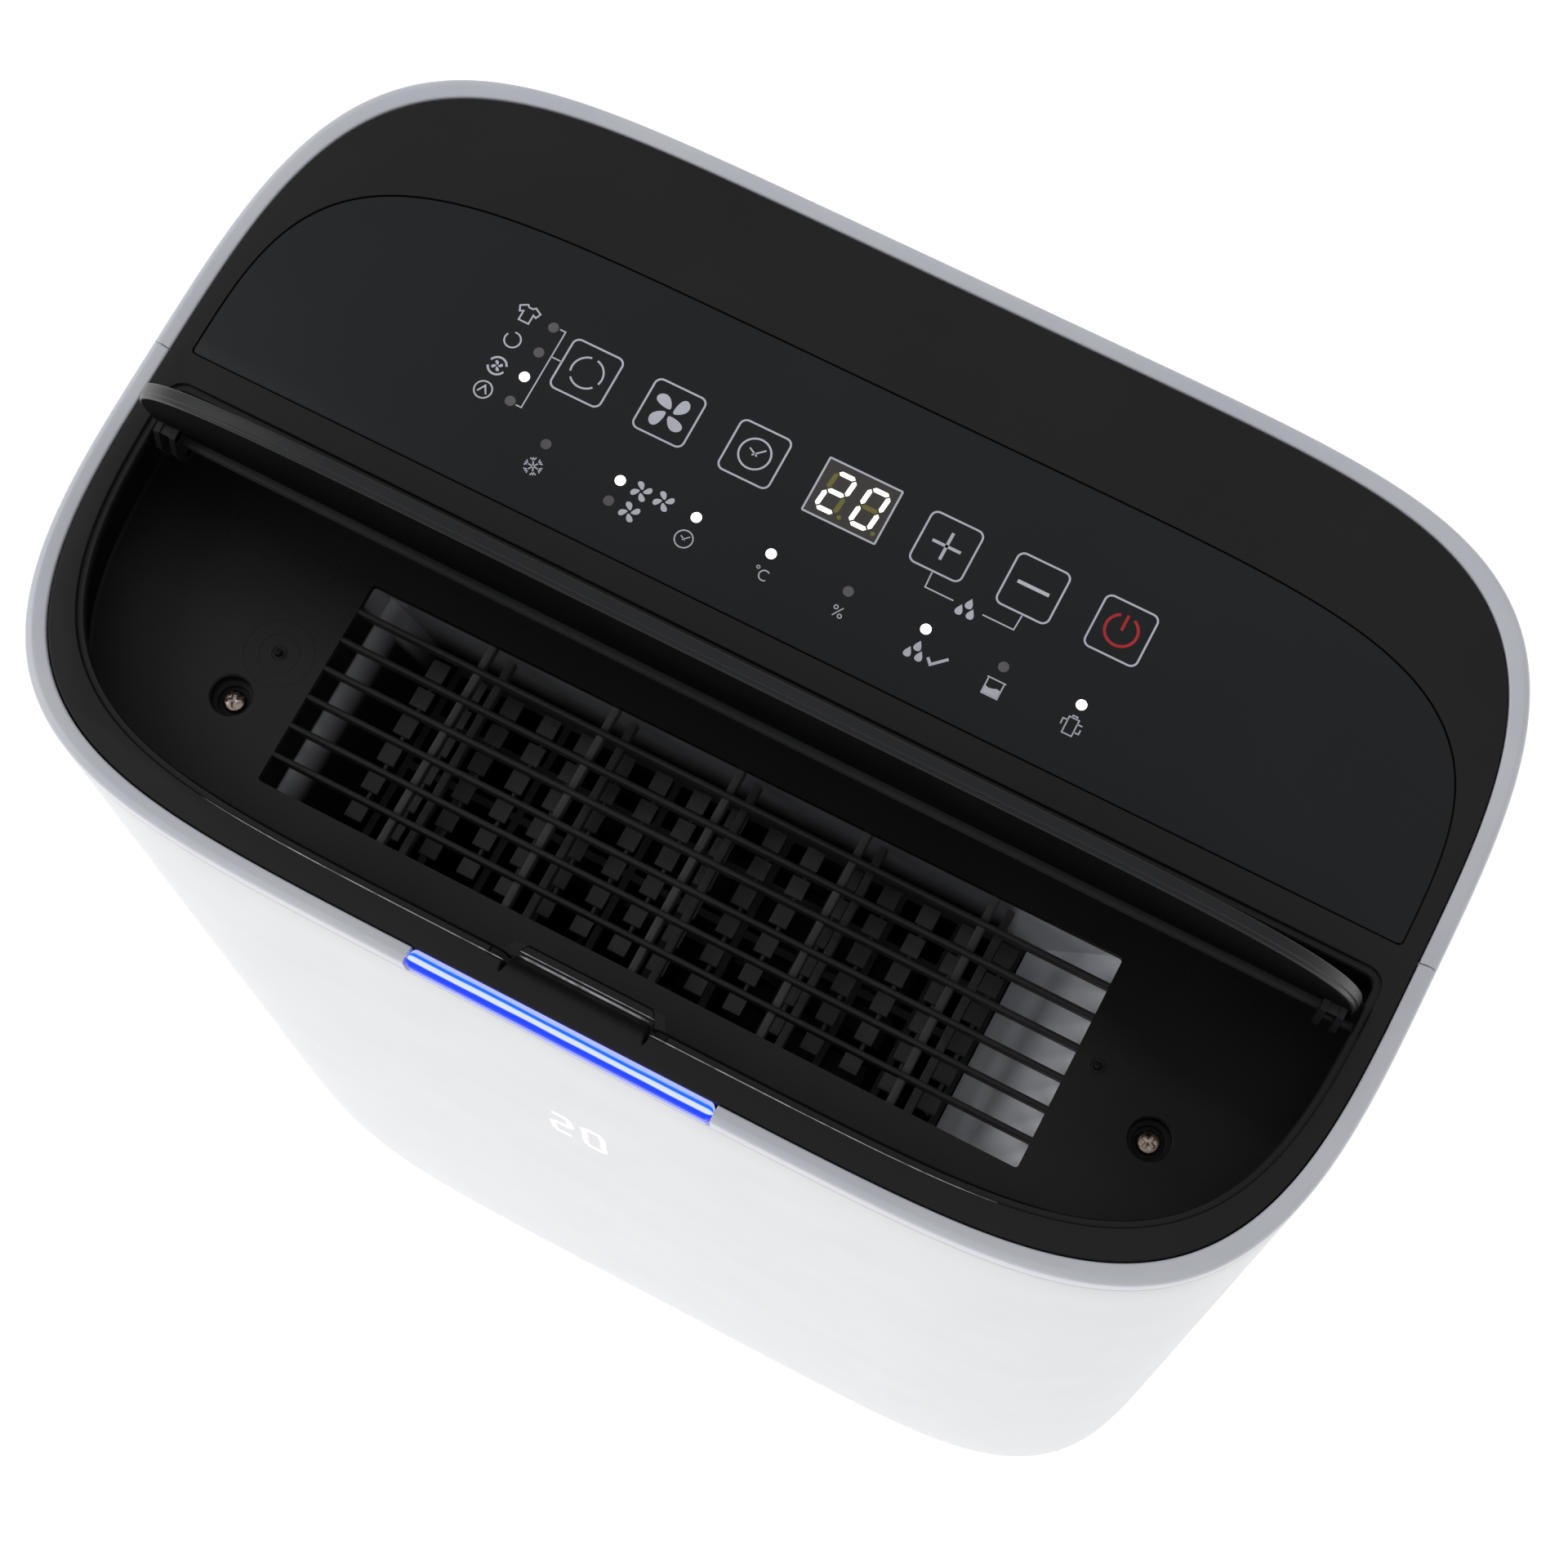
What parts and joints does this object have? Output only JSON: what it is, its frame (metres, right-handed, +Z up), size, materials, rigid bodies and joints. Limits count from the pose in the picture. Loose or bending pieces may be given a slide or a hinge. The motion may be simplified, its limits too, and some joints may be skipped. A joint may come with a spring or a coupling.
{
  "type": "dehumidifier",
  "caption": "Upright compressor dehumidifier with a rounded oblong case, hinged top outlet flap over a grille, touch panel, rear air filter and pull-out water tank.",
  "frame": {"origin": "centre of the footprint on the floor under the feet", "axes": "+Z up, front (light bar and outlet side) faces -Y, +X to the right seen from the front"},
  "size_m": [0.35, 0.22, 0.5781],
  "materials": {
    "white_plastic": "satin white ABS, faint orange-peel",
    "rim_grey": "light grey satin ABS ring",
    "black_plastic": "fine-textured black ABS",
    "smoked_panel": "smoked acrylic over printed symbols",
    "light_bar": "translucent blue light guide, lit",
    "duct_grey": "light grey moulded duct",
    "rubber": "black rubber",
    "nickel_screw": "nickel plated screw",
    "galvanised": "galvanised sheet",
    "copper": "bare copper tube",
    "aluminium_fins": "rolled fins",
    "black_enamel": "black enamelled steel",
    "circuit_board": "green circuit board",
    "display": "light emitting digits",
    "tank_smoke": "smoke tinted clear plastic",
    "float_foam": "closed cell foam",
    "filter_net": "fine nylon net"
  },
  "bodies": {
    "cabinet": {"front_shell": "white_plastic", "rear_shell": "white_plastic", "top_rim_front": "rim_grey", "top_rim_rear": "rim_grey", "base_tray": "black_plastic", "top_deck": "black_plastic", "outlet_tray": "black_plastic", "blower_housing": "black_plastic", "duct_guard": "black_plastic", "drip_tray": "black_plastic", "tank_rail_left": "black_plastic", "tank_rail_right": "black_plastic", "control_panel": "smoked_panel", "light_bar": "light_bar", "outlet_duct": "duct_grey", "run_capacitor": "duct_grey", "foot_front_left": "rubber", "foot_front_right": "rubber", "foot_rear_left": "rubber", "foot_rear_right": "rubber", "compressor_mount_1": "rubber", "compressor_mount_2": "rubber", "compressor_mount_3": "rubber", "cord_gland": "rubber", "outlet_screw_left": "nickel_screw", "outlet_screw_right": "nickel_screw", "fan_motor": "galvanised", "chassis_shelf": "galvanised", "chassis_partition": "galvanised", "electrical_box": "galvanised", "electrical_cover": "galvanised", "suction_pipe": "copper", "discharge_pipe": "copper", "liquid_pipe": "copper", "capillary_tube": "copper", "filter_drier": "copper", "evaporator": "aluminium_fins", "condenser": "aluminium_fins", "compressor": "black_enamel", "control_board": "circuit_board", "front_display_board": "circuit_board", "display_module": "display", "front_display_module": "display"},
    "flap": {"outlet_flap": "black_plastic"},
    "fan": {"blower_wheel": "black_plastic", "motor_shaft": "nickel_screw"},
    "tank": {"water_tank": "tank_smoke", "tank_lid": "white_plastic", "float_bracket": "white_plastic"},
    "float": {"tank_float": "float_foam"},
    "filter": {"filter_frame": "white_plastic", "air_filter": "filter_net"},
    "plug": {"drain_plug": "rubber"}
  },
  "joints": [
    {"name": "flap_hinge", "type": "hinge", "parent": "cabinet", "child": "flap", "pos_m": [0, -0.0195, 0.5028], "axis": [-1, 0, 0], "range_deg": [-79.5, 6]},
    {"name": "fan_spin", "type": "hinge", "parent": "cabinet", "child": "fan", "pos_m": [0, -0.05, 0.355], "axis": [0, 1, 0], "continuous": true},
    {"name": "tank_slide", "type": "slide", "parent": "cabinet", "child": "tank", "axis": [0, 1, 0], "range_m": [0, 0.095]},
    {"name": "float_tilt", "type": "hinge", "parent": "tank", "child": "float", "pos_m": [0.104, 0.036, 0.208], "axis": [1, 0, 0], "range_deg": [0, 14]},
    {"name": "filter_slide", "type": "slide", "parent": "cabinet", "child": "filter", "axis": [0, 1, 0], "range_m": [0, 0.04]},
    {"name": "plug_slide", "type": "slide", "parent": "cabinet", "child": "plug", "axis": [0, 1, 0], "range_m": [0, 0.02]}
  ]
}
